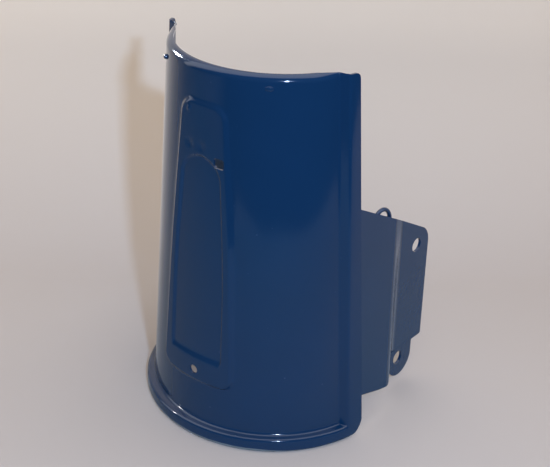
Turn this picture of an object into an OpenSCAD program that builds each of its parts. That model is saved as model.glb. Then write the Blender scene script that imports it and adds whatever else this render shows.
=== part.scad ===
// Pressed steel cover for the steering head of a moped: a tapered half round shield
// with a stepped hem, a raised front panel with an arched recess, two welded side
// brackets with bolt holes, and a wire hoop on the right bracket.
// It stands on its bottom hem. +Z is up, the front faces -Y, and the origin is on the
// floor, in the middle of the whole object. Everything is in millimetres.

/* [Shell] */
// Overall height, from the floor to the top of the rolled rim
height = 230; // [215:1:245]
// Outside radius of the wall, measured at the floor
bottom_r = 74.7; // [72:0.1:78]
// Outside radius of the wall, measured at the top
top_r = 63.5; // [61:0.1:66]
// Half of the angle that the wall spans at the floor
bottom_half_angle = 72; // [70:0.2:74]
// Half of the angle that the wall spans at the top
top_half_angle = 67; // [65:0.2:69]
// Thickness of the shell's sheet
sheet_t = 1.2; // [1:0.1:1.4]
// Radius of the rim that rolls inward along the top
rim_r = 4; // [3:0.1:5]

/* [Hem] */
// How far the hem stands out from the wall
hem_out = 4.9; // [4.2:0.1:5.4]
// Height of the hem and its step along the bottom
hem_h = 11.5; // [10.5:0.5:14]
// Width of the hem and its step up each side, at the floor
hem_w_low = 14.8; // [13.4:0.2:16]
// Width of the hem and its step up each side, at the top
hem_w_high = 10.6; // [9.6:0.2:12]
// Radius of the curl under the bottom hem
curl_r = 3; // [2.4:0.1:3.4]
// Radius of the hem's lower rear corners
hem_corner_r = 13; // [9:0.5:16]
// Radius of the hem's upper rear corners
hem_top_corner_r = 3; // [1.5:0.5:5]

/* [Front panel] */
// Height of the panel's lower edge above the floor
panel_low = 38; // [36:1:40]
// Distance from the top of the rim down to the panel's upper edge
panel_drop = 22.5; // [20:0.5:26]
// Half width of the panel's face near its lower edge
panel_half_low = 24.9; // [23:0.1:26]
// Half width of the panel's face halfway up
panel_half_mid = 19.9; // [19.4:0.1:20.6]
// Half width of the panel's face near its upper edge
panel_half_high = 14.6; // [13.8:0.1:15.4]
// How far the middle of the panel stands out from the wall
panel_out = 0.8; // [0.5:0.1:1.2]
// Radius of the panel's gently curved face
panel_r = 110; // [100:1:120]
// Depth of the arched recess in the panel
arch_depth = 1.5; // [1.2:0.1:1.6]
// Height of the recess's lower edge above the floor
arch_low = 50; // [49:0.5:52]
// Distance from the panel's upper edge down to the top of the recess
arch_drop = 27.5; // [27:0.5:32]
// Radius of the recess's round top
arch_top_r = 15; // [14:0.1:15.6]
// Half width of the recess halfway up
arch_half_mid = 18.8; // [18.2:0.1:19.2]
// Half width of the recess near its lower edge
arch_half_low = 19.8; // [19.2:0.1:20.6]

/* [Panel holes] */
// Diameter of the round hole under the recess
pin_hole_d = 5.5; // [4:0.1:6]
// Height of the round hole's centre
pin_hole_z = 43.4; // [42.5:0.1:44]
// Width of the slot beside the round top of the recess
slot_w = 6.4; // [5:0.1:6.6]
// Height of the slot
slot_h = 5.8; // [4.6:0.1:6.4]
// Distance from the middle of the panel to the middle of the slot
slot_x = 12.9; // [12.7:0.1:13.2]
// Distance from the panel's upper edge down to the middle of the slot
slot_drop = 29.5; // [28.5:0.5:30.5]

/* [Brackets] */
// Thickness of the brackets' sheet
bracket_t = 1.6; // [1.4:0.1:2]
// Half of the distance across the outsides of the two bolt flanges
flange_x = 69; // [67.5:0.1:69.4]
// Where the bracket's rear edge lies behind the axis
flange_rear = 65.6; // [63:0.2:68]
// Height of the flange's upper rear corner
flange_top = 106.9; // [104:0.5:112]
// Height of the flange's lower edge
flange_low = 31; // [30:0.5:33]
// Height of the bracket's sloping top edge, over the axis
side_top = 143.1; // [138:0.5:148]
// Height of the side's lower rear corner
side_low = 16.8; // [15:0.2:19]
// How far the fold from the side to the web lies behind the axis, at the floor
fold_side_y = 20; // [18:0.2:21]
// How far the fold from the web to the flange lies behind the axis
fold_flange_y = 33; // [32:0.2:35]
// Radius of the two folds
fold_r = 14; // [8:0.5:15]
// How far the lower ear steps inward from the flange
ear_step = 3; // [2.2:0.1:3.4]
// Radius of the lower ear's round end
ear_r = 12.1; // [11:0.1:13]
// Diameter of the bolt holes
bolt_hole_d = 9; // [7:0.1:10]
// How far the upper bolt hole lies behind the axis
bolt_up_y = 51.5; // [49:0.5:54]
// Height of the upper bolt hole
bolt_up_z = 101; // [97:0.5:103]
// How far the lower bolt hole lies behind the axis
bolt_low_y = 45.7; // [44.5:0.1:47]
// Height of the lower bolt hole
bolt_low_z = 20.5; // [19:0.1:21]

/* [Wire hoop] */
// Diameter of the hoop's wire
wire_d = 2.6; // [2.2:0.1:3]
// Radius of the hoop, to the middle of its wire
hoop_r = 8.4; // [7.6:0.1:8.6]
// Length of the hoop's straight legs
hoop_leg = 12; // [8:0.5:16]
// How far the hoop's middle lies behind the axis
hoop_y = 12.2; // [10:0.2:12.4]
// Height of the middle of the hoop's bend
hoop_z = 130.9; // [128:0.1:134]

/* [Hidden] */
paint = [0.13, 0.27, 0.48];

lean = atan((bottom_r - top_r) / height);
// The shapes are drawn round the wall's axis, which stands this far behind the origin
axis_y = (lerp(bottom_r, top_r, curl_r / height) + hem_out - flange_rear) / 2;
arc_n = 5;
wall_n = 36;
lip_tilt = 80;
lip_bend = 2;
side_tilt = 55;
side_bend = 2;
weld_gap = 0.02;

function lerp(a, b, f) = a * (1 - f) + b * f;
function unit(v) = v / norm(v);

// A step in a sheet, as [along, out] points: a hollow bend, a flank tilted by T and a round
// bend, both of radius r.
function step_path(rise, T, r, n) =
    let (a = r * (1 - cos(T)), L = (rise - 2 * a) / sin(T), x2 = r * sin(T) + L * cos(T))
    concat([for (i = [0:n]) let (t = T * i / n) [r * sin(t), r * (1 - cos(t))]],
           [for (i = [0:n]) let (t = T * (1 - i / n))
               [x2 + r * (sin(T) - sin(t)), rise - a + r * (cos(t) - cos(T))]]);

lip_step = step_path(hem_out, lip_tilt, lip_bend, arc_n);
side_step = step_path(hem_out, side_tilt, side_bend, arc_n);
step_len = side_step[len(side_step) - 1][0];

// Columns run round the shell from the left rear edge to the right one. Each holds the
// share of the wall's half angle, the distance past the wall's end, the share of the flat
// strip behind the step, and how far out it is.
side_cols = concat([for (p = side_step) [1, p[0], 0, p[1]]],
                   [for (f = [0.5, 1]) [1, step_len, f, hem_out]]);
ns = len(side_cols);
cols = concat([for (i = [ns - 1:-1:0]) let (c = side_cols[i]) [-1, -c[1], -c[2], c[3]]],
              [for (i = [1:wall_n - 1]) [2 * i / wall_n - 1, 0, 0, 0]],
              side_cols);

// Rows run from the floor to the top. Each holds its height, the hem's step, the curl
// under the hem and the roll of the rim.
rows = concat([for (i = [0:arc_n]) let (t = 90 * (1 - i / arc_n))
                  [curl_r * (1 - sin(t)), hem_out, curl_r * (1 - cos(t)), 0]],
              [for (i = [len(lip_step) - 1:-1:0]) [hem_h - lip_step[i][0], lip_step[i][1], 0, 0]],
              [for (f = [0.25, 0.5, 0.75]) [lerp(hem_h, height - rim_r, f), 0, 0, 0]],
              [for (i = [0:arc_n]) let (t = 90 * i / arc_n)
                  [height - rim_r * (1 - sin(t)), 0, 0, rim_r * (1 - cos(t))]]);

function wall_r(z) = lerp(bottom_r, top_r, z / height);
function half_angle(z) = lerp(bottom_half_angle, top_half_angle, z / height);
function strip_w(z) = lerp(hem_w_low, hem_w_high, z / height) - step_len;
function col_angle(c, z) =
    c[0] * half_angle(z) + (c[1] + c[2] * strip_w(z)) / wall_r(z) * 180 / PI;
function around(r, a) = [r * sin(a), -r * cos(a)];
// A point of the shell's outside, where each column runs straight up the wall
function shell_point(c, z, out) =
    let (p = lerp(around(bottom_r, col_angle(c, 0)), around(top_r, col_angle(c, height)),
                  z / height) + around(out, col_angle(c, z)))
    [p[0], p[1], z];
// The rim's roll fades toward the ends of the wall, and is gone where the side hem starts
roll_fade = 0.86;
roll_end = 0.3;
function roll(c) =
    (1 - (1 - roll_end) * max(0, abs(c[0]) - roll_fade) / (1 - roll_fade)) * (1 - c[3] / hem_out);
function cell_out(c, r) = max(c[3], r[1]) - r[2] - r[3] * roll(c);

outer_pts = [for (r = rows) [for (c = cols) shell_point(c, r[0], cell_out(c, r))]];
function clampi(i, n) = max(0, min(n - 1, i));
function grid_normal(g, k, j) =
    let (nk = len(g), nj = len(g[0]),
         du = g[k][clampi(j + 1, nj)] - g[k][clampi(j - 1, nj)],
         dv = g[clampi(k + 1, nk)][j] - g[clampi(k - 1, nk)][j])
    unit(cross(du, dv));

// A sheet of even thickness from a grid of points, with its outside on the grid.
// side is 1 where the columns turn anticlockwise seen from above, and -1 the other way.
module sheet_from_grid(g, t, side) {
    nk = len(g);
    nj = len(g[0]);
    n = nk * nj;
    function id(k, j, s) = s * n + k * nj + j;
    pts = concat([for (k = [0:nk - 1], j = [0:nj - 1]) g[k][j]],
                 [for (k = [0:nk - 1], j = [0:nj - 1]) g[k][j] - side * t * grid_normal(g, k, j)]);
    quads = concat(
        [for (k = [0:nk - 2], j = [0:nj - 2])
            [id(k, j, 0), id(k + 1, j, 0), id(k + 1, j + 1, 0), id(k, j + 1, 0)]],
        [for (k = [0:nk - 2], j = [0:nj - 2])
            [id(k, j, 1), id(k, j + 1, 1), id(k + 1, j + 1, 1), id(k + 1, j, 1)]],
        [for (j = [0:nj - 2]) [id(0, j, 0), id(0, j + 1, 0), id(0, j + 1, 1), id(0, j, 1)]],
        [for (j = [0:nj - 2]) [id(nk - 1, j, 0), id(nk - 1, j, 1), id(nk - 1, j + 1, 1),
                               id(nk - 1, j + 1, 0)]],
        [for (k = [0:nk - 2]) [id(k, 0, 0), id(k, 0, 1), id(k + 1, 0, 1), id(k + 1, 0, 0)]],
        [for (k = [0:nk - 2]) [id(k, nj - 1, 0), id(k + 1, nj - 1, 0), id(k + 1, nj - 1, 1),
                               id(k, nj - 1, 1)]]);
    tris = [for (q = quads) each [[q[0], q[1], q[2]], [q[0], q[2], q[3]]]];
    polyhedron(pts, side > 0 ? tris : [for (f = tris) [f[2], f[1], f[0]]]);
}

// Places its children on the front line of the wall: x across, y up, z outward
module on_front() {
    translate([0, -bottom_r, 0]) rotate([-lean, 0, 0]) rotate([90, 0, 0]) children();
}

// How far the panel's curved face falls back at a distance from its middle
function dip(x) = x * x / (2 * panel_r);
// How much narrower an inner wall is, so that a wall of this slope is as thick as the sheet
function wall_in(slope) = sheet_t * sqrt(1 + slope * slope);
panel_high = height - panel_drop;
panel_mid = (panel_low + panel_high) / 2;

// Panel block: side walls with a draft, under a gently curved face. Each corner holds the
// half width, the height of its centre, its radius and the draft's run for each mm of rise.
panel_corners = [[panel_half_low, panel_low + 0.9 * panel_out + 3.5, 3.5, 0.9],
                 [panel_half_mid, panel_mid, 3.5, 1.15],
                 [panel_half_high, panel_high - 1.4 * panel_out - 5.6, 5.6, 1.4]];
module panel_block(inner) {
    h = 8;
    intersection() {
        hull() for (p = panel_corners, s = [-1, 1]) {
            r = p[2] - inner * wall_in(p[3]);
            translate([s * (p[0] - dip(p[0]) * p[3] - p[2]), p[1], panel_out - h])
                cylinder(r1 = r + h * p[3], r2 = r, h = h, $fn = 32);
        }
        face_cylinder(inner * sheet_t);
    }
}
module face_cylinder(drop) {
    translate([0, -20, panel_out - panel_r]) rotate([-90, 0, 0])
        cylinder(r = panel_r - drop, h = height + 60, $fn = 180);
}

// Arched recess: everything in front of its floor, within its sloping walls. Its mouth lies
// on the panel's face, and its foot is given a little below the floor.
arch_high = panel_high - arch_drop;
arch_mid = (arch_low + arch_high) / 2;
arch_slope = 1.7;
arch_slope_low = 3;
arch_run = 3.3;
arch_corner = 9;
module arch_ring(z, run, corner) {
    top_r = arch_top_r + (dip(arch_top_r) - run) * arch_slope;
    mid = arch_half_mid + (dip(arch_half_mid) - run) * arch_slope;
    low = arch_half_low + (dip(arch_half_low) - run) * arch_slope * 1.15;
    translate([0, arch_high - arch_top_r - dip(arch_top_r) * arch_slope, z])
        cylinder(r = top_r, h = 0.05, $fn = 48);
    for (s = [-1, 1]) {
        translate([s * (mid - corner), arch_mid, z]) cylinder(r = corner, h = 0.05, $fn = 32);
        translate([s * (low - corner), arch_low + run * arch_slope_low + corner, z])
            cylinder(r = corner, h = 0.05, $fn = 32);
    }
}
module arch_block(inner) {
    drop = inner * wall_in(arch_slope) / arch_slope;
    difference() {
        hull() {
            arch_ring(panel_out + 1 - drop, -1, arch_corner + 1);
            arch_ring(panel_out - arch_run - drop, arch_run, arch_corner / 2);
        }
        face_cylinder(arch_depth + inner * sheet_t);
    }
}

module slot_outline() {
    r = 1.4;
    square([slot_w - 2 * r, slot_h], center = true);
    square([slot_w, slot_h - 2 * r], center = true);
    for (x = [-1, 1], y = [-1, 1])
        translate([x * (slot_w / 2 - r), y * (slot_h / 2 - r)]) circle(r = r, $fn = 24);
}

// What is cut away to round one rear corner of the hem, seen from the side
module corner_cut(y, z, r, up) {
    for (s = [-1, 1])
        translate([s * 60, y, z]) rotate([90, 0, 90])
            translate([0, 0, s > 0 ? 0 : -40]) linear_extrude(40)
                difference() {
                    translate([-r, up > 0 ? -r : -5]) square([r + 6, r + 5]);
                    translate([-r, up > 0 ? -r : r]) circle(r = r, $fn = 64);
                }
}

function rear_edge(z) = shell_point(cols[len(cols) - 1], z, hem_out);

module cover() {
    color(paint) difference() {
        union() {
            sheet_from_grid(outer_pts, sheet_t, 1);
            difference() {
                on_front() panel_block(0);
                cylinder(r1 = bottom_r - sheet_t / 2, r2 = top_r - sheet_t / 2, h = height,
                         $fn = 180);
            }
            on_front() intersection() {
                arch_block(1);
                face_cylinder(sheet_t / 2);
            }
        }
        on_front() difference() {
            panel_block(1);
            arch_block(1);
        }
        on_front() arch_block(0);
        on_front() translate([0, pin_hole_z, -10]) cylinder(d = pin_hole_d, h = 20, $fn = 48);
        on_front() translate([slot_x, panel_high - slot_drop, -10]) linear_extrude(20)
            slot_outline();
        corner_cut(rear_edge(0)[1], 0, hem_corner_r, -1);
        corner_cut(rear_edge(height)[1], height, hem_top_corner_r, 1);
    }
}

// A polyline with its inner corners rounded: each corner is [x, y, r]
function round_corner(a, b, c, r, n) =
    let (u = unit(a - b), v = unit(c - b), h = acos(u * v) / 2, m = r / tan(h),
         p = b + u * m, q = b + v * m, o = b + unit(u + v) * r / sin(h),
         a0 = atan2(p[1] - o[1], p[0] - o[0]), a1 = atan2(q[1] - o[1], q[0] - o[0]),
         d = a1 - a0, dd = d > 180 ? d - 360 : d < -180 ? d + 360 : d)
    [for (i = [0:n]) o + r * [cos(a0 + dd * i / n), sin(a0 + dd * i / n)]];
function xy(p) = [p[0], p[1]];
function rounded(pts, n) =
    let (m = len(pts))
    [for (i = [0:m - 1]) each
        round_corner(xy(pts[(i + m - 1) % m]), xy(pts[i]), xy(pts[(i + 1) % m]), pts[i][2], n)];

// Section of a bracket at one height: a tongue that lies inside the side hem, the side,
// the slanting web and the flange
inset = sheet_t + weld_gap;
function tongue(d, f, z) =
    xy(shell_point([1, d, f, hem_out - inset], z, hem_out - inset));
function side_x(z) =
    lerp(tongue(step_len, 1, 0)[0], tongue(step_len, 1, height)[0], z / height);
fold_lean = 0.0314;
function bracket_section(z) =
    let (s0 = tongue(step_len + 0.9, 0, z), s1 = tongue(step_len - 0.6, 1, z),
         k = [side_x(z), s1[1] + 2.2], b = [side_x(z), fold_side_y + fold_lean * z],
         c = [flange_x, fold_flange_y], e = [flange_x, flange_rear + 4])
    concat([s0], round_corner(s0, s1 + 0.25 * (s1 - s0), k + [0, 8], 3, 3),
           [for (p = round_corner(k, b, c, fold_r, 6)) p],
           [for (p = round_corner(b, c, e, fold_r, 6)) p], [e]);

// Outline of a bracket seen from the side, as [y, z, corner radius]. The front ends inside
// the hem. A notch separates the side's lower corner from the flange.
side_fall = 0.543;
front_y = -34;
notch_y = fold_side_y + 3;
notch_z = flange_low + 6.5;
bracket_outline = [[front_y, side_top - side_fall * front_y, 1],
                   [fold_side_y + 4, side_top - side_fall * (fold_side_y + 4), 60],
                   [flange_rear - 1, flange_top, 14],
                   [flange_rear, flange_low, 1.5],
                   [fold_flange_y + 6, flange_low, 3],
                   [notch_y + 1, notch_z, 2.5],
                   [notch_y, side_low, 4],
                   [fold_side_y / 2, side_low + 3.2, 60],
                   [front_y, side_low + 17.7, 1]];
outline_z = [for (p = bracket_outline) p[1]];
bracket_pts = [for (i = [0:10]) let (z = lerp(min(outline_z) - 2, max(outline_z) + 1, i / 10))
               [for (p = bracket_section(z)) [p[0], p[1], z]]];
// Far enough outward to reach past the sides
reach = bottom_r + hem_out + 20;

module side_plate(outline, n) {
    rotate([90, 0, 90]) linear_extrude(reach) polygon(rounded(outline, n));
}

module bolt_hole(y, z) {
    translate([reach / 2, y, z]) rotate([0, 90, 0])
        cylinder(d = bolt_hole_d, h = reach / 2, $fn = 48);
}

// The lower ear: a round tab that a short slanting web joins to the flange
ear_y = bolt_low_y + 2.7;
ear_z = bolt_low_z - 1.9;
module ear() {
    x1 = flange_x;
    x0 = flange_x - ear_step;
    t = bracket_t;
    z1 = flange_low + 1;
    z0 = z1 - 1.45 * ear_step;
    intersection() {
        translate([0, reach, 0]) rotate([90, 0, 0]) linear_extrude(reach)
            polygon([[x1, z1], [x0, z0], [x0, 0], [x0 - t, 0], [x0 - t, z0 + 0.6],
                     [x1 - t, z1 + 0.6]]);
        rotate([90, 0, 90]) linear_extrude(reach) {
            translate([ear_y, ear_z]) circle(r = ear_r, $fn = 96);
            translate([ear_y - ear_r, ear_z]) square([2 * ear_r, z1 + 2 - ear_z]);
        }
    }
}

module bracket() {
    color(paint) difference() {
        union() {
            intersection() {
                sheet_from_grid(bracket_pts, bracket_t, 1);
                side_plate(bracket_outline, 8);
            }
            ear();
        }
        bolt_hole(bolt_up_y, bolt_up_z);
        bolt_hole(bolt_low_y, bolt_low_z);
    }
}
module bracket_right() { bracket(); }
module bracket_left() { mirror([1, 0, 0]) bracket(); }

// The hoop lies against the inside of the right bracket and shows above its top edge. Its
// legs are flat where they are welded on.
side_lean = atan((side_x(0) - side_x(height)) / height);
foot_w = 1;
module wire_hoop() {
    r = wire_d / 2;
    color(paint)
        translate([side_x(hoop_z), hoop_y, hoop_z]) rotate([0, -side_lean, 0])
            translate([-bracket_t / cos(side_lean) - r, 0, 0]) rotate([90, 0, 90]) {
                rotate_extrude(angle = 180, $fn = 96) translate([hoop_r, 0])
                    circle(r = r, $fn = 24);
                for (s = [-1, 1]) translate([s * hoop_r, 0, 0]) {
                    rotate([90, 0, 0]) cylinder(r = r, h = hoop_leg, $fn = 24);
                    translate([-foot_w / 2, -hoop_leg, 0]) cube([foot_w, hoop_leg - 2, r]);
                }
            }
}

module in_place() { translate([0, axis_y, 0]) children(); }

in_place() cover();
in_place() bracket_right();
in_place() bracket_left();
in_place() wire_hoop();
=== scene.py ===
import math
import bpy
import bmesh
import numpy as np
from mathutils import Matrix, Vector


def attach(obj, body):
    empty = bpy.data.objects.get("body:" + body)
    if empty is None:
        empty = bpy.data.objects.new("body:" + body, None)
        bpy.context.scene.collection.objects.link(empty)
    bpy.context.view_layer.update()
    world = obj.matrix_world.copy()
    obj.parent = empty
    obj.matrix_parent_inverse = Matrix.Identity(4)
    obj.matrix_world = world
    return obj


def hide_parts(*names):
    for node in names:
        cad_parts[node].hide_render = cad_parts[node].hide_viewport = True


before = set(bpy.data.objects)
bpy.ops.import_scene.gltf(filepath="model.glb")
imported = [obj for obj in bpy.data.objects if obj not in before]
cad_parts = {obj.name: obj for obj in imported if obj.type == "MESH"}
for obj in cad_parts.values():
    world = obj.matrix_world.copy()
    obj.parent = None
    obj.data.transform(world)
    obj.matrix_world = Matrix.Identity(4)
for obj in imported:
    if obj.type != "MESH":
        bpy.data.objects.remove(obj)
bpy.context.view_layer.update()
scene = bpy.context.scene

# Sizes in millimetres. The shapes are computed round the wall's axis, which stands AXIS_Y
# behind the origin.
H, RB, RT = 230.0, 74.7, 63.5
HALF_B, HALF_T = 72.0, 67.0
SHEET, RIM = 1.2, 4.0
RIM_FADE, RIM_END = 0.86, 0.3
HEM_OUT, HEM_H, HEM_W_LOW, HEM_W_HIGH, CURL = 4.9, 11.5, 14.8, 10.6, 3.0
CORNER_R, TOP_CORNER_R = 13.0, 3.0
LIP_TILT, SIDE_TILT, BEND = 80.0, 55.0, 2.0
PANEL_LOW, PANEL_HIGH, PANEL_CORNER = 38.0, 207.5, 6.5
PANEL_OUT, PANEL_R = 0.8, 110.0
ARCH_DEPTH, ARCH_LOW, ARCH_MID, ARCH_R = 1.5, 50.0, 165.0, 15.0
ARCH_RUN, ARCH_RUN_LOW, ARCH_LOW_R = 2.3, 6.0, 2.4
PIN_D, PIN_Z = 5.5, 43.4
SLOT_W, SLOT_H, SLOT_X, SLOT_Z, SLOT_R = 6.4, 5.8, 12.9, 178.0, 1.4
BR_T, FLANGE_X, EAR_STEP, FLANGE_REAR, BOLT_D, FOLD_R = 1.6, 69.0, 3.0, 65.6, 9.0, 14.0
FLANGE_TOP, FLANGE_LOW, SIDE_TOP, SIDE_LOW, SIDE_FALL = 106.9, 31.0, 143.1, 16.8, 0.543
FOLD_SIDE_Y, FOLD_FLANGE_Y, FOLD_LEAN = 20.0, 33.0, 0.0314
BOLT_UP, BOLT_LOW = (51.5, 101.0), (45.7, 20.5)
EAR, EAR_R = (48.4, 18.6), 12.1
WIRE_D, HOOP_R, HOOP_LEG, HOOP_AT = 2.6, 8.4, 12.0, (12.2, 130.9)

LEAN = math.atan((RB - RT) / H)
# Half widths of the panel's crest, its foot and the recess's mouth, each against height
CREST = ((38, 43, 65.5, 98, 129, 158, 187, 207.5),
         (25.0, 24.8, 23.5, 21.7, 19.9, 17.7, 15.3, 13.7))
FOOT = ((38, 59, 78, 107, 129, 158, 187, 207.5),
        (27.4, 27.1, 26.5, 25.6, 24.1, 21.7, 19.0, 17.2))
MOUTH = ((50, 65, 100, 125, 158, 165), (19.9, 19.7, 19.2, 18.0, 15.5, 15.0))
# How far the mouth's column stands past the mouth, and at least inside the crest
MOUTH_EDGE, MOUTH_INSIDE = 0.2, 1.4
# The panel's columns keep their places below and above these heights
LINES_LOW, LINES_HIGH = 20.0, 222.0
# The panel is worked out as far as this from the middle, and past its two ends
PANEL_REACH, PANEL_PAST = 34.0, 8.0
# Dents and one small raised pip on the panel: across, up, radius, depth
MARKS = [(-8.5, 184.5, 2.6, 0.55), (0.4, 184.2, 2.5, 0.5), (-9.5, 204.0, 1.3, -0.6)]
MARK_END = 6
# Beads of paint on the wall: angle, height, half sizes across, out and up, centre's stand
BEADS = [(-38.5, 221.2, (1.5, 1.5, 1.5), 0.3), (34.0, 223.0, (2.4, 0.8, 1.5), -0.25)]

# The mesh: steps in each bend, and the heights between which the rows are 1 mm apart
BEND_STEPS, ROWS_LOW, ROWS_HIGH = 8, 34, 213
# Columns across the recess's floor, its side, the panel's face, its side and the wall
ZONE_COLUMNS = (26, 7, 7, 9, 27)
STRIP_COLUMNS = (0.33, 0.66, 1)
# Points nearer than this, in metres, are one point: the cuts leave a few slivers
MERGE = 1e-6


def wall_r(z):
    return RB + (RT - RB) * z / H


AXIS_Y = (wall_r(CURL) + HEM_OUT - FLANGE_REAR) / 2


def to_row(p):
    """Millimetres from the wall's axis to metres in the row's frame."""
    p = np.asarray(p, float) + np.array([0.0, AXIS_Y, 0.0])
    return p / 1000


def smooth(t):
    """From 0 to 1, level at both ends."""
    t = np.clip(t, 0.0, 1.0)
    return t * t * t * (t * (6 * t - 15) + 10)


def step_path(rise, tilt):
    """A step of the hem between two bends: distance along and out."""
    t, n = math.radians(tilt), BEND_STEPS
    a = BEND * (1 - math.cos(t))
    x2 = BEND * math.sin(t) + (rise - 2 * a) / math.tan(t)
    up = [(BEND * math.sin(t * i / n), BEND * (1 - math.cos(t * i / n))) for i in range(n + 1)]
    down = []
    for i in range(n + 1):
        s = t * (1 - i / n)
        down.append((x2 + BEND * (math.sin(t) - math.sin(s)),
                     rise - a + BEND * (math.cos(s) - math.cos(t))))
    return up + down


LIP_STEP = step_path(HEM_OUT, LIP_TILT)
SIDE_STEP = step_path(HEM_OUT, SIDE_TILT)
STEP_LEN = SIDE_STEP[-1][0]


def half_angle(z):
    return math.radians(HALF_B + (HALF_T - HALF_B) * z / H)


def at(table, z):
    return float(np.interp(z, table[0], table[1]))


def lines(z):
    """Half widths of the arch's floor and mouth and of the panel's crest and foot."""
    mouth = min(at(MOUTH, z), at(CREST, z) - MOUTH_INSIDE)
    return mouth - ARCH_RUN, mouth + MOUTH_EDGE, at(CREST, z), at(FOOT, z)


def rounded_box(dx, dz, r):
    """Signed distance to a corner: dx and dz are the distances inside two edges."""
    if dx < r and dz < r:
        return r - math.hypot(r - dx, r - dz)
    return min(dx, dz)


def panel_lift(x, z):
    """How far the panel and its recess stand out from the wall at x across and z up."""
    ax = abs(x)
    if ax > PANEL_REACH or not PANEL_LOW - PANEL_PAST <= z <= PANEL_HIGH + PANEL_PAST:
        return 0.0
    R = wall_r(z)
    face = R + PANEL_OUT - x * x / (2 * PANEL_R) - math.sqrt(R * R - x * x)
    crest = at(CREST, z)
    run = at(FOOT, z) - crest
    inside = rounded_box(crest - ax, min(z - PANEL_LOW, PANEL_HIGH - z), PANEL_CORNER)
    lift = face * float(smooth((inside + run) / run))
    if z > ARCH_MID:
        depth_in = ARCH_R - math.hypot(x, z - ARCH_MID)
    else:
        low = (z - ARCH_LOW) * ARCH_RUN / ARCH_RUN_LOW
        depth_in = rounded_box(at(MOUTH, z) - ax, low, ARCH_LOW_R)
    return lift - ARCH_DEPTH * float(smooth(depth_in / ARCH_RUN))


def dent(x, z):
    d = 0.0
    for cx, cz, r, deep in MARKS:
        q = ((x - cx) ** 2 + (z - cz) ** 2) / (r * r)
        if q < MARK_END:
            d -= deep * math.exp(-q)
    return d


def column_list():
    """Columns: side, kind, zone or distance past the wall's end, share, how far out."""
    side = [("side", a, 0.0, o) for a, o in SIDE_STEP]
    side += [("side", STEP_LEN, f, HEM_OUT) for f in STRIP_COLUMNS]
    middle = [("wall", k, i / n, 0.0) for k, n in enumerate(ZONE_COLUMNS) for i in range(n)]
    right = middle[1:] + side
    return ([(-1,) + c for c in reversed(right)] + [(1,) + middle[0]]
            + [(1,) + c for c in right])


COLS = column_list()


def strip_w(z):
    """Width of the side hem past its step."""
    return HEM_W_LOW + (HEM_W_HIGH - HEM_W_LOW) * z / H - STEP_LEN


def place(col, z):
    """Share of the wall's half angle, and the distance and strip share past its end."""
    sgn, kind, a, b, _ = col
    if kind == "side":
        return float(sgn), sgn * a, sgn * b
    zones = lines(min(max(z, LINES_LOW), LINES_HIGH))
    marks = [0.0, *zones, half_angle(z) * wall_r(z)]
    arc = marks[a] + (marks[a + 1] - marks[a]) * b
    return sgn * arc / marks[5], 0.0, 0.0


def turn(share, past, strip, z):
    """Angle round the axis, in radians, of a column at height z."""
    return share * half_angle(z) + (past + strip * strip_w(z)) / wall_r(z)


def base_point(share, past, strip, z, out):
    """A point of the outside, where each column runs straight up the wall."""
    a0, a1, a = (turn(share, past, strip, v) for v in (0.0, H, z))
    f = z / H
    x = (1 - f) * RB * math.sin(a0) + f * RT * math.sin(a1)
    y = -(1 - f) * RB * math.cos(a0) - f * RT * math.cos(a1)
    return x + out * math.sin(a), y - out * math.cos(a)


def row_list():
    """Rows from the lip up: height, hem's stand, the lip's curl, the rim's roll."""
    rows = []
    n = BEND_STEPS
    for i in range(n + 1):
        t = math.radians(90 * (1 - i / n))
        rows.append((CURL * (1 - math.sin(t)), HEM_OUT, CURL * (1 - math.cos(t)), 0.0))
    for a, o in reversed(LIP_STEP):
        rows.append((HEM_H - a, o, 0.0, 0.0))
    zs = list(np.linspace(HEM_H, ROWS_LOW, 9)[1:])
    zs += list(np.arange(ROWS_LOW + 1, ROWS_HIGH, 1.0))
    zs += list(np.linspace(ROWS_HIGH, H - RIM, 6)[:-1])
    rows += [(float(z), 0.0, 0.0, 0.0) for z in zs]
    for i in range(n + 1):
        t = math.radians(90 * i / n)
        rows.append((H - RIM * (1 - math.sin(t)), 0.0, 0.0, RIM * (1 - math.cos(t))))
    return rows


ROWS = row_list()


def rim_roll(share, out):
    """The rim rolls less near the wall's ends, and not on the side hems."""
    fade = 1 - (1 - RIM_END) * max(0.0, abs(share) - RIM_FADE) / (1 - RIM_FADE)
    return fade * (1 - out / HEM_OUT)


def outside_grid():
    """Points of the shell's outside, row by row."""
    g = np.zeros((len(ROWS), len(COLS), 3))
    for k, (z, hem, curl, rim) in enumerate(ROWS):
        for j, col in enumerate(COLS):
            share, past, strip = place(col, z)
            out = max(col[4], hem) - curl - rim * rim_roll(share, col[4])
            x, y = base_point(share, past, strip, z, out)
            if col[1] == "wall" and abs(x) < PANEL_REACH:
                y -= panel_lift(x, z) + dent(x, z)
            g[k, j] = (x, y, z)
    return g


def grid_normals(g):
    du = np.empty_like(g)
    du[:, 1:-1] = g[:, 2:] - g[:, :-2]
    du[:, 0] = g[:, 1] - g[:, 0]
    du[:, -1] = g[:, -1] - g[:, -2]
    dv = np.empty_like(g)
    dv[1:-1] = g[2:] - g[:-2]
    dv[0] = g[1] - g[0]
    dv[-1] = g[-1] - g[-2]
    n = np.cross(du, dv)
    return n / np.linalg.norm(n, axis=2, keepdims=True)


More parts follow.
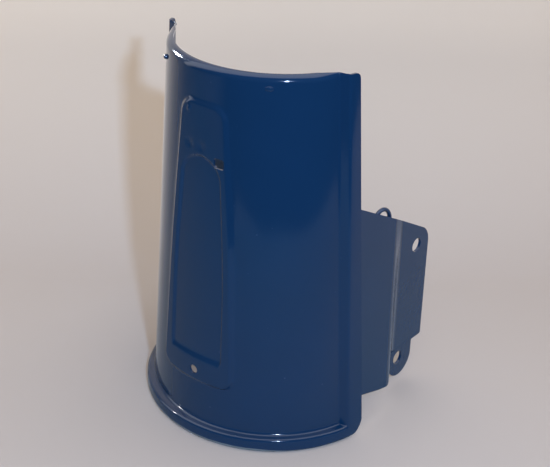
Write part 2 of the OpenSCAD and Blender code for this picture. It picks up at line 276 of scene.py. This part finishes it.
def sheet_mesh(name, g, t):
    """A closed sheet of thickness t with its outside on the grid g."""
    nk, nj = g.shape[:2]
    inner = g - t * grid_normals(g)
    pts = to_row(np.concatenate([g.reshape(-1, 3), inner.reshape(-1, 3)]))
    n = nk * nj
    idx = np.arange(n).reshape(nk, nj)
    a, b, c, d = idx[:-1, :-1], idx[:-1, 1:], idx[1:, 1:], idx[1:, :-1]
    quads = np.stack([a, b, c, d], -1).reshape(-1, 4)
    quads_in = np.stack([a, d, c, b], -1).reshape(-1, 4) + n
    faces = [quads, quads_in]
    for line, flip in ((idx[0], False), (idx[-1], True), (idx[:, 0], True),
                       (idx[:, -1], False)):
        edge = np.stack([line[:-1], line[:-1] + n, line[1:] + n, line[1:]], -1)
        faces.append(edge[:, ::-1] if flip else edge)
    me = bpy.data.meshes.new(name)
    me.from_pydata(pts.tolist(), [], np.concatenate(faces).tolist())
    me.validate()
    ob = bpy.data.objects.new(name, me)
    scene.collection.objects.link(ob)
    return ob


def fix_normals(ob):
    bm = bmesh.new()
    bm.from_mesh(ob.data)
    bmesh.ops.recalc_face_normals(bm, faces=bm.faces)
    bm.to_mesh(ob.data)
    bm.free()


def from_bmesh(bm, name):
    """The bmesh as an object in the scene."""
    me = bpy.data.meshes.new(name)
    bm.to_mesh(me)
    bm.free()
    ob = bpy.data.objects.new(name, me)
    scene.collection.objects.link(ob)
    return ob


def boolean(ob, tool, op):
    """Cut, join or keep what both share; the tool is used up."""
    m = ob.modifiers.new("cut", "BOOLEAN")
    m.operation = op
    m.object = tool
    m.solver = "MANIFOLD"
    dg = bpy.context.evaluated_depsgraph_get()
    dg.update()
    me = bpy.data.meshes.new_from_object(ob.evaluated_get(dg))
    ob.modifiers.clear()
    old = ob.data
    ob.data = me
    bpy.data.meshes.remove(old)
    bpy.data.objects.remove(tool)


def prism(name, outline, depth, matrix):
    """An outline in the XY plane pushed along Z by depth, then placed by a matrix (mm)."""
    bm = bmesh.new()
    low = [bm.verts.new((x, y, 0.0)) for x, y in outline]
    high = [bm.verts.new((x, y, depth)) for x, y in outline]
    n = len(outline)
    bm.faces.new(list(reversed(low)))
    bm.faces.new(high)
    for i in range(n):
        bm.faces.new([low[i], low[(i + 1) % n], high[(i + 1) % n], high[i]])
    for v in bm.verts:
        v.co = Vector(to_row(matrix @ v.co))
    bmesh.ops.recalc_face_normals(bm, faces=bm.faces)
    return from_bmesh(bm, name)


def circle(cx, cy, r, n=48, a0=0.0, a1=360.0):
    """Points of a circle, or of an arc from a0 to a1 degrees with both its ends."""
    steps = n if abs(a1 - a0) >= 360 else n + 1
    return [(cx + r * math.cos(math.radians(a0 + (a1 - a0) * i / n)),
             cy + r * math.sin(math.radians(a0 + (a1 - a0) * i / n))) for i in range(steps)]


def rounded_polygon(pts, n=10):
    """Corners are (x, y, radius)."""
    out = []
    m = len(pts)
    for i in range(m):
        a, b, c = (pts[(i + k) % m][:2] for k in (-1, 0, 1))
        out += round_corner(a, b, c, pts[i][2], n)
    return [tuple(p) for p in out]


def round_corner(a, b, c, r, n):
    """Points of the arc of radius r that rounds the corner b between a and c."""
    a, b, c = (np.asarray(p, float) for p in (a, b, c))
    u, v = (a - b) / np.linalg.norm(a - b), (c - b) / np.linalg.norm(c - b)
    h = math.acos(float(np.clip(u @ v, -1, 1))) / 2
    m = r / math.tan(h)
    p, q = b + u * m, b + v * m
    w = (u + v) / np.linalg.norm(u + v)
    o = b + w * r / math.sin(h)
    a0 = math.atan2(p[1] - o[1], p[0] - o[0])
    d = math.atan2(q[1] - o[1], q[0] - o[0]) - a0
    d = (d + math.pi) % (2 * math.pi) - math.pi
    return [o + r * np.array([math.cos(a0 + d * i / n), math.sin(a0 + d * i / n)])
            for i in range(n + 1)]


ON_FRONT = (Matrix.Translation((0, -RB, 0)) @ Matrix.Rotation(-LEAN, 4, "X")
            @ Matrix.Rotation(math.radians(90), 4, "X"))
ALONG_X = (Matrix.Rotation(math.radians(90), 4, "Z")
           @ Matrix.Rotation(math.radians(90), 4, "X"))


def shade(ob, angle=40):
    """Smooth shading, but for edges sharper than an angle in degrees."""
    for p in ob.data.polygons:
        p.use_smooth = True
    bm = bmesh.new()
    bm.from_mesh(ob.data)
    bmesh.ops.remove_doubles(bm, verts=bm.verts, dist=MERGE)
    lim = math.radians(angle)
    for e in bm.edges:
        e.smooth = len(e.link_faces) == 2 and e.calc_face_angle(0.0) < lim
    bm.to_mesh(ob.data)
    bm.free()


# The pressed shell
cover = sheet_mesh("shell", outside_grid(), SHEET)
fix_normals(cover)
hw, hh = SLOT_W / 2, SLOT_H / 2
slot = rounded_polygon([(SLOT_X + i * hw, SLOT_Z + k * hh, SLOT_R)
                        for i, k in ((-1, -1), (1, -1), (1, 1), (-1, 1))], 6)
CUT = 20
THROUGH_FRONT = ON_FRONT @ Matrix.Translation((0, 0, -CUT / 2))
for name, outline in (("pin_cut", circle(0, PIN_Z, PIN_D / 2)), ("slot_cut", slot)):
    boolean(cover, prism(name, outline, CUT, THROUGH_FRONT), "DIFFERENCE")


def rear_y(z):
    """How far back the side hem reaches."""
    return base_point(1.0, STEP_LEN, 1.0, z, HEM_OUT)[1]


# The hems' rear corners are rounded off by cuts from X0 outward, as wide as X_CUT
X0, X_CUT, BEYOND = 60, 40, 6
for sgn in (-1, 1):
    for z, r, up in ((0.0, CORNER_R, -1), (H, TOP_CORNER_R, 1)):
        y = rear_y(z)
        line = circle(y - r, z - up * r, r, 24, 0, 90 * up)
        line += [(y - r, z + up * BEYOND), (y + BEYOND, z + up * BEYOND),
                 (y + BEYOND, z - up * r)]
        m = Matrix.Translation((X0 if sgn > 0 else -X0 - X_CUT, 0, 0)) @ ALONG_X
        boolean(cover, prism("corner_cut", line, X_CUT, m), "DIFFERENCE")


def add_bead(angle, z, semi, stand):
    a = math.radians(angle)
    c = (wall_r(z) + stand) * np.array([math.sin(a), -math.cos(a), 0]) + np.array([0, 0, z])
    bm = bmesh.new()
    m = (Matrix.Translation(Vector(to_row(c))) @ Matrix.Rotation(a, 4, "Z")
         @ Matrix.Diagonal((*(v / 1000 for v in semi), 1)))
    bmesh.ops.create_icosphere(bm, subdivisions=4, radius=1, matrix=m)
    boolean(cover, from_bmesh(bm, "bead"), "UNION")


for bead in BEADS:
    add_bead(*bead)
shade(cover)


# The side brackets
INSET = SHEET + 0.02
# The strip inside the hem starts and ends this far past the hem's step and short of its
# edge; then the side starts this far behind the hem
TONGUE_START, TONGUE_END, SIDE_START, TONGUE_R = 0.9, -0.6, 2.2, 3
OUTLINE_FRONT, SHEET_MARGIN = 34, 4


def tongue(d, f, z):
    """A point inside the side hem, d past the wall's end and at share f of the strip."""
    return np.array(base_point(1.0, d, f, z, HEM_OUT - INSET))


def side_x(z):
    """How far out the bracket's side stands."""
    return tongue(STEP_LEN, 1, 0)[0] * (1 - z / H) + tongue(STEP_LEN, 1, H)[0] * z / H


def bracket_section(z):
    """The outside of the bracket's sheet at one height, from the hem to the rear."""
    s0, s1 = tongue(STEP_LEN + TONGUE_START, 0, z), tongue(STEP_LEN + TONGUE_END, 1, z)
    k = np.array([side_x(z), s1[1] + SIDE_START])
    b = np.array([side_x(z), FOLD_SIDE_Y + FOLD_LEAN * z])
    c = np.array([FLANGE_X, FOLD_FLANGE_Y])
    e = np.array([FLANGE_X, FLANGE_REAR + SHEET_MARGIN])
    pts = [s0] + round_corner(s0, s1 + 0.25 * (s1 - s0), k + np.array([0, 8]), TONGUE_R, 8)
    pts += round_corner(k, b, c, FOLD_R, 16)
    pts += round_corner(b, c, e, FOLD_R, 16)
    return pts + [e]


# Corners of the bracket seen from the side: y, z, radius
OUTLINE = [(-OUTLINE_FRONT, SIDE_TOP + OUTLINE_FRONT * SIDE_FALL, 1),
           (FOLD_SIDE_Y + 4, SIDE_TOP - SIDE_FALL * (FOLD_SIDE_Y + 4), 60),
           (FLANGE_REAR - 1, FLANGE_TOP, 14), (FLANGE_REAR, FLANGE_LOW, 1.5),
           (FOLD_FLANGE_Y + 6, FLANGE_LOW, 3), (FOLD_SIDE_Y + 4, FLANGE_LOW + 6.5, 2.5),
           (FOLD_SIDE_Y + 3, SIDE_LOW, 4), (FOLD_SIDE_Y / 2, SIDE_LOW + 3.2, 60),
           (-OUTLINE_FRONT, SIDE_LOW + 17.7, 1)]


def bracket_sheet():
    zs = np.linspace(SIDE_LOW - 2, SIDE_TOP + OUTLINE_FRONT * SIDE_FALL + 1, 31)
    g = np.array([[[p[0], p[1], z] for p in bracket_section(z)] for z in zs])
    return sheet_mesh("bracket_r", g, BR_T)


# Longer than any piece, and the ear's slope between the flange and itself
LONG, EAR_RUN, EAR_LAP = 100, 1.45, 0.6


def build_bracket():
    """The folded sheet with its ear and both bolt holes."""
    ob = bracket_sheet()
    fix_normals(ob)
    boolean(ob, prism("outline", rounded_polygon(OUTLINE, 16), LONG, ALONG_X), "INTERSECT")
    x1, x0, t = FLANGE_X, FLANGE_X - EAR_STEP, BR_T
    z1 = FLANGE_LOW + 1
    z0 = z1 - EAR_RUN * EAR_STEP
    web = [(x1, z1), (x0, z0), (x0, 0), (x0 - t, 0), (x0 - t, z0 + EAR_LAP),
           (x1 - t, z1 + EAR_LAP)]
    across = Matrix.Translation((0, LONG, 0)) @ Matrix.Rotation(math.radians(90), 4, "X")
    ear = prism("ear", web, LONG, across)
    tab = circle(*EAR, EAR_R, 64, 180, 360)
    tab += [(EAR[0] + EAR_R, z1 + 2), (EAR[0] - EAR_R, z1 + 2)]
    boolean(ear, prism("tab", tab, LONG, ALONG_X), "INTERSECT")
    boolean(ob, ear, "UNION")
    for y, z in (BOLT_UP, BOLT_LOW):
        m = Matrix.Translation((50, 0, 0)) @ ALONG_X
        boolean(ob, prism("bolt", circle(y, z, BOLT_D / 2), 40, m), "DIFFERENCE")
    return ob


bracket_r = build_bracket()
bracket_r.name = "bracket_sheet_r"
shade(bracket_r, 32)
bracket_l = bpy.data.objects.new("bracket_sheet_l", bracket_r.data.copy())
scene.collection.objects.link(bracket_l)
for v in bracket_l.data.vertices:
    v.co.x = -v.co.x
bracket_l.data.flip_normals()
shade(bracket_l, 32)


# The wire hoop
def tube(name, path, r, sides=20):
    """A round wire along a path in one plane."""
    path = [np.asarray(p, float) for p in path]
    bm = bmesh.new()
    rings = []
    n = len(path)
    up = np.array([1.0, 0.0, 0.0])
    for i, p in enumerate(path):
        d = path[min(i + 1, n - 1)] - path[max(i - 1, 0)]
        d = d / np.linalg.norm(d)
        a = up - d * (up @ d)
        a /= np.linalg.norm(a)
        b = np.cross(d, a)
        rings.append([bm.verts.new(to_row(p + r * (math.cos(t) * a + math.sin(t) * b)))
                      for t in np.linspace(0, 2 * math.pi, sides, endpoint=False)])
    for q, w in zip(rings, rings[1:]):
        for i in range(sides):
            bm.faces.new([q[i], q[(i + 1) % sides], w[(i + 1) % sides], w[i]])
    bm.faces.new(list(reversed(rings[0])))
    bm.faces.new(rings[-1])
    bmesh.ops.recalc_face_normals(bm, faces=bm.faces)
    return from_bmesh(bm, name)


SIDE_LEAN = math.atan((side_x(0) - side_x(H)) / H)


def hoop_path():
    """Up one leg, round the loop and down the other, against the bracket's inside."""
    pts = [(-HOOP_R, -HOOP_LEG), (-HOOP_R, -HOOP_LEG / 2)]
    pts += [(HOOP_R * math.cos(t), HOOP_R * math.sin(t)) for t in
            np.linspace(math.pi, 0, 40)]
    pts += [(HOOP_R, -HOOP_LEG / 2), (HOOP_R, -HOOP_LEG)]
    m = (Matrix.Translation((side_x(HOOP_AT[1]), HOOP_AT[0], HOOP_AT[1]))
         @ Matrix.Rotation(-SIDE_LEAN, 4, "Y")
         @ Matrix.Translation((-BR_T / math.cos(SIDE_LEAN) - WIRE_D / 2, 0, 0)))
    return [m @ Vector((0, y, z)) for y, z in pts]


hoop = tube("hoop_wire", hoop_path(), WIRE_D / 2)
shade(hoop, 50)


# Materials
def srgb(r, g, b):
    """A colour written from 0 to 255, as the shaders take it."""
    def lin(c):
        c /= 255
        return c / 12.92 if c <= 0.04045 else ((c + 0.055) / 1.055) ** 2.4
    return (lin(r), lin(g), lin(b), 1.0)


PAINT, PAINT_PALE = srgb(11, 47, 86), srgb(12, 49, 90)
# SPECK is dust; the second colour is painted light, the bluish glow of the floor under the lip
SPECK, FLOOR_GLOW = srgb(96, 122, 156), srgb(112, 130, 146)
ROUGHNESS, WAVINESS = (0.07, 0.13), 0.04


def new_material(name):
    m = bpy.data.materials.new(name)
    m.use_nodes = True
    return m, m.node_tree, m.node_tree.nodes["Principled BSDF"]


def noise(nt, coord, scale, detail=2.0):
    n = nt.nodes.new("ShaderNodeTexNoise")
    n.inputs["Scale"].default_value = scale
    n.inputs["Detail"].default_value = detail
    nt.links.new(coord, n.inputs["Vector"])
    return n.outputs["Fac"]


def separate(nt, vector):
    n = nt.nodes.new("ShaderNodeSeparateXYZ")
    nt.links.new(vector, n.inputs["Vector"])
    return n.outputs


def dot_product(nt, vector, direction):
    n = nt.nodes.new("ShaderNodeVectorMath")
    n.operation = "DOT_PRODUCT"
    nt.links.new(vector, n.inputs[0])
    n.inputs[1].default_value = direction
    return n.outputs["Value"]


def remap(nt, value, lo, hi, to_lo, to_hi):
    n = nt.nodes.new("ShaderNodeMapRange")
    for key, v in (("From Min", lo), ("From Max", hi), ("To Min", to_lo), ("To Max", to_hi)):
        n.inputs[key].default_value = v
    nt.links.new(value, n.inputs["Value"])
    return n.outputs["Result"]


def math_node(nt, op, a, b):
    n = nt.nodes.new("ShaderNodeMath")
    n.operation = op
    for socket, v in zip(n.inputs, (a, b)):
        if isinstance(v, (int, float)):
            socket.default_value = v
        else:
            nt.links.new(v, socket)
    return n.outputs["Value"]


def mix_color(nt, fac, a, b, blend="MIX"):
    n = nt.nodes.new("ShaderNodeMix")
    n.data_type = "RGBA"
    n.blend_type = blend
    if isinstance(fac, (int, float)):
        n.inputs["Factor"].default_value = fac
    else:
        nt.links.new(fac, n.inputs["Factor"])
    for key, v in (("A", a), ("B", b)):
        if isinstance(v, tuple):
            n.inputs[key].default_value = v
        else:
            nt.links.new(v, n.inputs[key])
    return n.outputs["Result"]


def paint_material():
    """Gloss blue enamel over steel."""
    m, nt, bsdf = new_material("blue_enamel")
    coord = nt.nodes.new("ShaderNodeTexCoord").outputs["Object"]
    broad = noise(nt, coord, 14.0, 4.0)
    tone = mix_color(nt, remap(nt, broad, 0.3, 0.7, 0, 1), PAINT, PAINT_PALE)
    # pale specks of dust and small nicks
    specks = nt.nodes.new("ShaderNodeTexVoronoi")
    specks.inputs["Scale"].default_value = 170.0
    nt.links.new(coord, specks.inputs["Vector"])
    near = remap(nt, specks.outputs["Distance"], 0.0, 0.09, 1.0, 0.0)
    gate = remap(nt, noise(nt, coord, 55.0), 0.6, 0.72, 0.0, 1.0)
    tone = mix_color(nt, math_node(nt, "MULTIPLY", near, gate), tone, SPECK)
    # painted light: a pale band is painted on the lacquer along the lower curl for the bluish
    # light of the floor under the lip, less toward the right
    xyz = separate(nt, coord)
    limit = remap(nt, xyz["X"], 0.046, 0.074, 0.0030, 0.0006)
    below = math_node(nt, "SUBTRACT", limit, xyz["Z"])
    ragged = remap(nt, noise(nt, coord, 90.0), 0.2, 0.8, -0.0003, 0.0003)
    floor_glow = remap(nt, math_node(nt, "ADD", below, ragged), 0.0, 0.0006, 0, 0.9)
    tone = mix_color(nt, floor_glow, tone, FLOOR_GLOW)
    nt.links.new(tone, bsdf.inputs["Base Color"])
    # slightly uneven gloss, with the fine waviness of sprayed enamel
    nt.links.new(remap(nt, broad, 0.0, 1.0, *ROUGHNESS), bsdf.inputs["Roughness"])
    bump = nt.nodes.new("ShaderNodeBump")
    bump.inputs["Strength"].default_value = WAVINESS
    bump.inputs["Distance"].default_value = 0.0006
    nt.links.new(noise(nt, coord, 420.0), bump.inputs["Height"])
    nt.links.new(bump.outputs["Normal"], bsdf.inputs["Normal"])
    bsdf.inputs["IOR"].default_value = 1.5
    return m


paint = paint_material()
for ob, node in ((cover, "cover"), (bracket_r, "bracket_right"), (bracket_l, "bracket_left"),
                 (hoop, "wire_hoop")):
    ob.data.materials.clear()
    ob.data.materials.append(paint)
    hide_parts(node)
    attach(ob, "root")


# Floor, light and camera. The eye is in millimetres from the axis; the focal length and
# the picture's centre are in pixels of the photograph's frame.
EYE = (396.706, -498.830, 448.642)
AZ, EL, ROLL, FOCAL = 38.761, 28.201, 1.533, 1193.0
FRAME_W, FRAME_H, CENTRE = 550.0, 467.0, (270.03, 230.12)
SENSOR = 36.0

SWEEP_BACK, SWEEP_R, SWEEP_TOP, SWEEP_SIDE = 250.0, 130.0, 700.0, 1100.0
PAPER_NEAR, SWEEP_COLUMNS, SWEEP_ROWS = 100.0, 45, 25
# The pale paper ends toward the camera along these points, across and back from the axis
PAPER_FRONT = [(-315, -1470), (-105, -490), (-1, -502), (296, -284), (516, 54), (900, 644)]
# Painted light: the one sheet of paper is painted darker on the floor and brighter on the wall
PAPER_FLOOR_SHADED, PAPER_WALL_LIT = srgb(207, 204, 205), srgb(246, 240, 232)
# The last colour is painted shade toward the right of the picture
PAPER_MOTTLE, PAPER_SHADE = srgb(150, 140, 140), srgb(150, 142, 142)
# Painted light and shade in what the lacquer mirrors of the paper: metres toward the front,
# share of the paper's colour, and how much cooler it is. The ramp runs over MIRROR_SPAN from
# MIRROR_LOW.
MIRROR_STOPS = ((-0.2, 1.5, 1.0), (0.0, 0.82, 1.1), (0.1, 0.56, 1.2), (0.2, 0.36, 1.4),
                (0.4, 0.27, 1.75))
MIRROR_LOW, MIRROR_SPAN = -0.3, 0.8
BEHIND_BRACKET, FAR_EDGE = (0.05, 0.40, 0.75, 1), (0.03, 0.03, 0.03, 1)


def toward(azimuth, elevation):
    """A direction from the object, with azimuth 0 toward the front and turning right."""
    a, e = math.radians(azimuth), math.radians(elevation)
    return Vector((math.sin(a) * math.cos(e), -math.cos(a) * math.cos(e), math.sin(e)))


PICTURE_RIGHT = Vector((math.cos(math.radians(AZ)), math.sin(math.radians(AZ)), 0))


def painted_mirror_shade(nt, coord, xyz):
    """Painted shade and light: where the lacquer mirrors it, the paper is painted darker
    toward the front and brighter behind.
    """
    fall = nt.nodes.new("ShaderNodeValToRGB")
    ramp = fall.color_ramp
    for i, (metres, share, cool) in enumerate(MIRROR_STOPS):
        e = ramp.elements[i] if i < 2 else ramp.elements.new(0.5)
        e.position = (metres - MIRROR_LOW) / MIRROR_SPAN
        e.color = (share, share * cool, share * cool ** 1.5, 1)
    ahead = dot_product(nt, coord, (0.3, -0.95, 0.0))
    ahead = remap(nt, ahead, MIRROR_LOW, MIRROR_LOW + MIRROR_SPAN, 0, 1)
    nt.links.new(ahead, fall.inputs["Fac"])
    # the floor behind the right bracket lies in the shade
    in_x = remap(nt, xyz["X"], 0.03, 0.09, 0, 1)
    in_y = remap(nt, dot_product(nt, coord, (1.0, -1.1, 0)), 0.06, 0.16, 0.38, 0)
    share = mix_color(nt, math_node(nt, "MULTIPLY", in_x, in_y), fall.outputs["Color"],
                      BEHIND_BRACKET)
    # painted shade: far in front the mirrored paper fades toward its long left edge
    far = remap(nt, xyz["Y"], -0.62, -0.42, 1, 0)
    edge = remap(nt, dot_product(nt, coord, (0.98, -0.21, 0)), -0.16, 0.0, 0, 0.9)
    return mix_color(nt, math_node(nt, "MULTIPLY", far, edge), share, FAR_EDGE)


def clear_from_behind(nt, bsdf, camera_ray):
    """From behind, the camera looks through the back of the paper at the object."""
    out = next(n for n in nt.nodes if n.type == "OUTPUT_MATERIAL")
    geometry = nt.nodes.new("ShaderNodeNewGeometry")
    clear = nt.nodes.new("ShaderNodeBsdfTransparent")
    either = nt.nodes.new("ShaderNodeMixShader")
    gone = math_node(nt, "MULTIPLY", camera_ray, geometry.outputs["Backfacing"])
    for i, socket in enumerate((gone, bsdf.outputs[0], clear.outputs[0])):
        nt.links.new(socket, either.inputs[i])
    nt.links.new(either.outputs[0], out.inputs["Surface"])


def paper_material():
    m, nt, bsdf = new_material("paper_pale")
    coord = nt.nodes.new("ShaderNodeTexCoord").outputs["Object"]
    xyz = separate(nt, coord)
    # painted light: the sheet is painted brighter as it rises from the floor into the wall
    tone = mix_color(nt, remap(nt, xyz["Z"], 0.0, 0.16, 0, 1), PAPER_FLOOR_SHADED, PAPER_WALL_LIT)
    mottle = remap(nt, noise(nt, coord, 3.0), 0.3, 0.7, 0.0, 0.04)
    tone = mix_color(nt, mottle, tone, PAPER_MOTTLE)
    # painted shade: a little darker toward the right of the picture, as the light comes from
    # the left
    right = remap(nt, dot_product(nt, coord, PICTURE_RIGHT), -0.25, 0.35, 0, 0.25)
    tone = mix_color(nt, right, tone, PAPER_SHADE)
    # only the lacquer's mirrored rays see the paper with its painted shade and light
    painted_mirror_tone = mix_color(nt, 1.0, tone, painted_mirror_shade(nt, coord, xyz), "MULTIPLY")
    rays = nt.nodes.new("ShaderNodeLightPath").outputs
    tone = mix_color(nt, rays["Is Glossy Ray"], tone, painted_mirror_tone)
    nt.links.new(tone, bsdf.inputs["Base Color"])
    bsdf.inputs["Roughness"].default_value = 0.8
    bsdf.inputs["Specular IOR Level"].default_value = 0.1
    clear_from_behind(nt, bsdf, rays["Is Camera Ray"])
    return m


def backdrop():
    """One pale sheet: the floor, which turns up into a wall behind the object."""
    view = -toward(AZ, 0)
    profile = [(SWEEP_BACK - SWEEP_R + SWEEP_R * math.sin(t), SWEEP_R * (1 - math.cos(t)))
               for t in np.linspace(0, math.pi / 2, SWEEP_ROWS)]
    profile += [(SWEEP_BACK, SWEEP_TOP)]
    ends = [Vector((x, y, 0)) for x, y in PAPER_FRONT]
    front = np.array(sorted((v.dot(PICTURE_RIGHT), v.dot(view)) for v in ends))
    bm = bmesh.new()
    columns = []
    for u in np.linspace(-SWEEP_SIDE, SWEEP_SIDE, SWEEP_COLUMNS):
        start = min(float(np.interp(u, front[:, 0], front[:, 1])), PAPER_NEAR)
        columns.append([
            bm.verts.new(Vector(to_row(u * PICTURE_RIGHT + v * view + Vector((0, 0, z)))))
            for v, z in [(start, 0.0)] + profile])
    for a, b in zip(columns, columns[1:]):
        for i in range(len(a) - 1):
            bm.faces.new([a[i], b[i], b[i + 1], a[i + 1]]).smooth = True
    ob = from_bmesh(bm, "backdrop")
    ob.data.materials.append(paper_material())


# The paper is lit evenly by the world; the lacquer mirrors a dim room with a bright side
# above the left rear, and the camera sees a pale surround
AMBIENT, SURROUND = (0.54, 0.445, 0.35, 1), (0.55, 0.52, 0.50, 1)
ROOM_LOW, ROOM_HIGH = (0.03, 0.03, 0.03, 1), (0.07, 0.07, 0.07, 1)
CEILING = (1.9, 1.9, 1.9, 1)


def studio_world():
    world = bpy.data.worlds.new("studio")
    scene.world = world
    world.use_nodes = True
    nt = world.node_tree
    sky = nt.nodes.new("ShaderNodeTexCoord").outputs["Generated"]
    room = remap(nt, separate(nt, sky)["Z"], -0.05, 0.10, 0, 1)
    above = remap(nt, dot_product(nt, sky, toward(-140, 30)), 0.02, 0.2, 0, 1)
    mirror = mix_color(nt, above, mix_color(nt, room, ROOM_LOW, ROOM_HIGH), CEILING)
    rays = nt.nodes.new("ShaderNodeLightPath").outputs
    shown = mix_color(nt, rays["Is Glossy Ray"], AMBIENT, mirror)
    shown = mix_color(nt, rays["Is Camera Ray"], shown, SURROUND)
    nt.links.new(shown, nt.nodes["Background"].inputs["Color"])
    nt.nodes["Background"].inputs["Strength"].default_value = 1.0


def area(name, loc, target, size, power, color, seen=True, lights=True, spread=180):
    """A lamp; loc and target are in metres from the axis. It may be left out of the
    mirrored rays (seen) or of the diffuse light (lights)."""
    lamp = bpy.data.lights.new(name, "AREA")
    lamp.shape = "RECTANGLE"
    lamp.size, lamp.size_y = size
    lamp.energy = power
    lamp.color = color
    lamp.spread = math.radians(spread)
    ob = bpy.data.objects.new(name, lamp)
    ob.location = loc
    ob.visible_camera = False
    ob.visible_glossy = seen
    ob.visible_diffuse = lights
    d = Vector(target) - Vector(loc)
    ob.rotation_euler = d.to_track_quat("-Z", "Y").to_euler()
    scene.collection.objects.link(ob)


MIDDLE = (0, 0, 0.11)
WARM, CREAM = (1.0, 0.86, 0.74), (1.0, 0.95, 0.90)
PALE, COOL = (0.88, 0.94, 1.0), (0.52, 0.72, 1.0)
FLASH_AT = Vector(EYE) / 1000 + Vector((0.07, 0.056, 0.05))


def lamps():
    """Two soft lamps, the camera's small flash, and two glints on the rim and the lip."""
    area("soft", toward(50, 50) * 1.8, MIDDLE, (1.2, 1.2), 4.2, WARM, seen=False)
    area("behind", (0.05, 0.12, 0.60), (0.05, 0.08, 0), (0.3, 0.3), 0.55, CREAM, seen=False)
    area("glint_rim", (-0.280, -0.061, 0.310), (-0.045, -0.045, 0.228), (0.045, 0.05),
         0.05, PALE, lights=False, spread=16)
    area("glint_lip", (-0.213, -0.227, 0.088), (-0.05, -0.058, 0.006), (0.03, 0.03),
         0.013, PALE, lights=False, spread=16)
    area("flash", FLASH_AT, MIDDLE, (0.03, 0.02), 3.0, COOL)


def photo_camera():
    """The camera at the photograph's viewing angle."""
    ro = math.radians(ROLL)
    back = toward(AZ, EL)
    up = back.cross(PICTURE_RIGHT)
    right = math.cos(ro) * PICTURE_RIGHT + math.sin(ro) * up
    over = -math.sin(ro) * PICTURE_RIGHT + math.cos(ro) * up
    data = bpy.data.cameras.new("camera")
    cam = bpy.data.objects.new("camera", data)
    m = Matrix((right, over, back)).transposed().to_4x4()
    m.translation = Vector(to_row(EYE))
    cam.matrix_world = m
    data.sensor_fit = "HORIZONTAL"
    data.sensor_width = SENSOR
    data.lens = FOCAL * SENSOR / FRAME_W
    data.shift_x = (FRAME_W / 2 - CENTRE[0]) / FRAME_W
    data.shift_y = -(FRAME_H / 2 - CENTRE[1]) / FRAME_W
    data.clip_start, data.clip_end = 0.01, 30
    scene.collection.objects.link(cam)
    scene.camera = cam


backdrop()
studio_world()
lamps()
photo_camera()
scene.view_settings.view_transform = "Standard"
